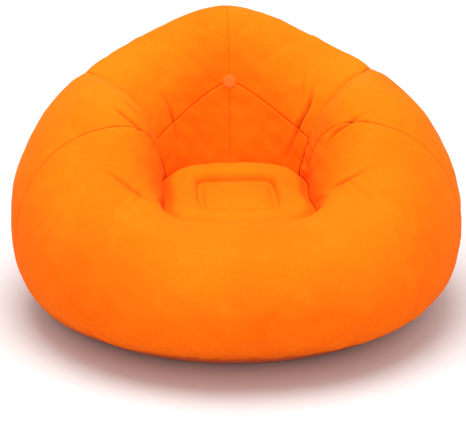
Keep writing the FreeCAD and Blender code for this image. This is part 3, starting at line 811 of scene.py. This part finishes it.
def embossed_pvc(name, colour, deep, cell=420.0, roughness=0.5):
    """Plain PVC sheet with a fine embossed grain."""
    finish, tree, shader = new_finish(name, Specular_IOR_Level=0.45)
    here = place_on_piece(tree)
    pebbles = tree.nodes.new("ShaderNodeTexVoronoi")
    pebbles.inputs["Scale"].default_value = cell
    tree.links.new(here, pebbles.inputs["Vector"])
    clouds = spread(tree, cloudy(tree, here, 7.0, 3.0), 0.35, 0.65)
    tint = mixed(tree, clouds, colour, deep)
    scuffs = spread(tree, cloudy(tree, here, 38.0, 4.0, 0.7, 1.5), 0.6, 0.72, 0, 0.35)
    tree.links.new(mixed(tree, scuffs, tint, deep), shader.inputs["Base Color"])
    tree.links.new(spread(tree, clouds, 0, 1, roughness - 0.07, roughness + 0.08),
                   shader.inputs["Roughness"])
    bump(tree, shader, pebbles.outputs["Distance"], 0.0004, 0.7)
    return finish


def moulded(name, colour, deep, roughness, **sockets):
    """Moulded soft plastic or rubber, with a faint flow pattern and a matt-and-gloss skin."""
    finish, tree, shader = new_finish(name, **sockets)
    here = place_on_piece(tree, (1.0, 1.0, 1.6))
    flow = spread(tree, cloudy(tree, here, 55.0, 3.0, 0.55, 0.8), 0.35, 0.65)
    tree.links.new(mixed(tree, flow, colour, deep), shader.inputs["Base Color"])
    skin_gloss = spread(tree, cloudy(tree, here, 260.0, 3.0), 0.35, 0.65,
                        roughness - 0.06, roughness + 0.10)
    tree.links.new(skin_gloss, shader.inputs["Roughness"])
    bump(tree, shader, cloudy(tree, here, 900.0, 2.0), 0.0001, 0.5)
    return finish


ORANGE = (0.940, 0.147, 0.0030, 1.0)
DEEP_ORANGE = (0.900, 0.126, 0.0024, 1.0)
PALE_ORANGE = (0.960, 0.176, 0.0060, 1.0)
SHADED_ORANGE = (0.220, 0.042, 0.0030, 1.0)
velvet = flocked_pvc("orange_flocked_pvc", ORANGE, DEEP_ORANGE, PALE_ORANGE, SHADED_ORANGE)
base_sheet = embossed_pvc("orange_base_pvc", (0.80, 0.115, 0.005, 1), (0.66, 0.085, 0.004, 1))
patch_sheet = flocked_pvc("pink_patch", (0.95, 0.17, 0.024, 1), (0.92, 0.15, 0.020, 1),
                          (0.96, 0.2, 0.05, 1), (0.90, 0.15, 0.02, 1))
web_sheet = embossed_pvc("web_pvc", (0.72, 0.70, 0.64, 1), (0.62, 0.60, 0.55, 1), 500.0, 0.42)
milky = moulded("milky_valve", (0.80, 0.79, 0.75, 1), (0.72, 0.71, 0.67, 1), 0.30,
                Subsurface_Weight=0.15, Subsurface_Scale=0.004, Coat_Weight=0.15)
clear_plug = moulded("milky_plug", (0.84, 0.84, 0.81, 1), (0.76, 0.76, 0.73, 1), 0.24,
                     Subsurface_Weight=0.15, Subsurface_Scale=0.004, Coat_Weight=0.25)
cap_plastic = moulded("valve_cap_plastic", (0.86, 0.86, 0.84, 1), (0.78, 0.78, 0.75, 1), 0.22,
                      Subsurface_Weight=0.15, Subsurface_Scale=0.003, Coat_Weight=0.3)
flap_rubber = moulded("flap_rubber", (0.55, 0.54, 0.50, 1), (0.46, 0.45, 0.42, 1), 0.5)

# --- the chair: each panel's cut is its width, length and area when laid flat, in metres
SKIN = (
    ("front", "front_panel", "front", "whole", 264, 150,
     ((ARM_WELD, False), (ARM_WELD, False), (SEAT_WELD, True), (BASE_WELD, True)),
     (1.39, 0.89, 0.696)),
    ("right_arm", "right_arm_panel", "right_arm", "whole", 110, 190,
     ((ARM_WELD, False), (CREASE_WELD, True), (SEAT_WELD, True), (BASE_WELD, True)),
     (0.47, 0.96, 0.287)),
    ("left_arm", "left_arm_panel", "left_arm", "whole", 110, 190,
     ((CREASE_WELD, True), (ARM_WELD, False), (SEAT_WELD, True), (BASE_WELD, True)),
     (0.47, 0.96, 0.287)),
    ("right_back", "right_back_panel", "right_back", "high", 130, 190,
     ((CREASE_WELD, True), (BACK_WELD, False), (LOW_BACK_WELD, False), (BASE_WELD, True)),
     (0.53, 0.98, 0.381)),
    ("left_back", "left_back_panel", "left_back", "high", 130, 190,
     ((BACK_WELD, False), (CREASE_WELD, True), (LOW_BACK_WELD, False), (BASE_WELD, True)),
     (0.53, 0.98, 0.380)),
    ("right_lower_back", "right_lower_back_panel", "right_back", "low", 80, 50,
     ((CREASE_WELD, True), (BACK_WELD, False), (SEAT_WELD, True), (LOW_BACK_WELD, False)),
     (0.27, 0.22, 0.034)),
    ("left_lower_back", "left_lower_back_panel", "left_back", "low", 80, 50,
     ((BACK_WELD, False), (CREASE_WELD, True), (SEAT_WELD, True), (LOW_BACK_WELD, False)),
     (0.27, 0.22, 0.034)),
)
for name, node, sector, part, across, up, seams, cut in SKIN:
    panel = make_panel(name, sector, part, across, up, seams)
    if name == "left_back":
        cut_valve_hole(panel)
    finish_sheet(panel, node, velvet)
finish_sheet(make_seat("seat", 200), "seat_panel", velvet)
finish_sheet(make_base("base", 180), "base_panel", base_sheet)
finish_sheet(make_patch("seam_patch", 28), "centre_patch", patch_sheet,
             PATCH_SHEET)

INSIDE = {"seat_tie_doubler": (web_sheet, "tie_pvc"), "base_tie_doubler": (web_sheet, "tie_pvc"),
          "front_tie_web": (web_sheet, "tie_pvc"), "right_tie_web": (web_sheet, "tie_pvc"),
          "back_tie_web": (web_sheet, "tie_pvc"), "left_tie_web": (web_sheet, "tie_pvc"),
          "valve_flange": (milky, "valve_soft"), "cap_strap": (milky, "valve_soft"),
          "valve_plug": (clear_plug, "valve_plug"), "seal_cap": (cap_plastic, "valve_cap"),
          "check_flap": (flap_rubber, "flap")}
for node, (finish, slot) in INSIDE.items():
    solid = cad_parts[node]
    solid.data.materials.clear()
    solid.data.materials.append(finish)

# --- the floor, the light and the camera
FLOOR_SIZE, FLOOR_HEIGHT = 14, -0.0004
FLOOR_NEAR, FLOOR_FAR = 0.9, 3.0
floor_mesh, _, _ = grid_mesh("floor", 8, 8)
floor_points = points_of(floor_mesh) * FLOOR_SIZE
floor_points[:, 2] = FLOOR_HEIGHT
floor_mesh.vertices.foreach_set("co", floor_points.ravel())
floor = new_object("floor", floor_mesh)
pale, pale_tree, pale_shader = new_finish("pale_floor", Roughness=0.85, Specular_IOR_Level=0.1)
pale_where = place_on_piece(pale_tree)
pale_near = mixed(pale_tree, cloudy(pale_tree, pale_where, 1.4, 3.0), (0.60, 0.60, 0.595, 1),
                  (0.64, 0.64, 0.635, 1))
pale_radius = pale_tree.nodes.new("ShaderNodeVectorMath")
pale_radius.operation = "LENGTH"
pale_tree.links.new(pale_where, pale_radius.inputs[0])
pale_share = spread(pale_tree, pale_radius.outputs["Value"], FLOOR_NEAR, FLOOR_FAR)
pale_tree.links.new(mixed(pale_tree, pale_share, pale_near, (0.97, 0.97, 0.97, 1)),
                    pale_shader.inputs["Base Color"])
floor_mesh.materials.append(pale)


def soft_light(name, place, aim, size, power, colour=(1, 1, 1)):
    light = bpy.data.lights.new(name, "AREA")
    light.shape = "DISK"
    light.size = size
    light.energy = power
    light.color = colour
    lamp = bpy.data.objects.new(name, light)
    lamp.location = place
    lamp.rotation_mode = "QUATERNION"
    lamp.rotation_quaternion = (Vector(aim) - Vector(place)).to_track_quat("-Z", "Y")
    bpy.context.scene.collection.objects.link(lamp)


soft_light("overhead", (-0.2, -0.3, 3.2), (0, 0, 0.3), 2.4, 108)
soft_light("front_fill", (0.6, -3.4, 2.6), (0, 0, 0.3), 1.8, 14)

world = bpy.data.worlds.new("studio")
world.use_nodes = True
world.node_tree.nodes["Background"].inputs["Color"].default_value = (1, 1, 1, 1)
world.node_tree.nodes["Background"].inputs["Strength"].default_value = 0.95
bpy.context.scene.world = world
bpy.context.scene.view_settings.view_transform = "Standard"
bpy.context.scene.view_settings.look = "None"

CAMERA_TURN, CAMERA_RISE, CAMERA_AWAY = math.radians(-4.7), math.radians(19), 2.83
CAMERA_ROLL = math.radians(0.3)
CAMERA_LENS, CAMERA_SENSOR = 90.0, 36.0
CAMERA_SHIFT = (-0.006867, -0.080687)
AIM = Vector((0, 0.011, 0.300))
camera_data = bpy.data.cameras.new("camera")
camera_data.sensor_width = CAMERA_SENSOR
camera_data.lens = CAMERA_LENS
camera_data.shift_x, camera_data.shift_y = CAMERA_SHIFT
camera = bpy.data.objects.new("camera", camera_data)
back = Vector((math.sin(CAMERA_TURN) * math.cos(CAMERA_RISE),
               -math.cos(CAMERA_TURN) * math.cos(CAMERA_RISE), math.sin(CAMERA_RISE)))
camera.location = AIM + back * CAMERA_AWAY
camera.rotation_mode = "QUATERNION"
camera.rotation_quaternion = ((-back).to_track_quat("-Z", "Y")
                              @ Quaternion((0, 0, 1), CAMERA_ROLL))
bpy.context.scene.collection.objects.link(camera)
bpy.context.scene.camera = camera
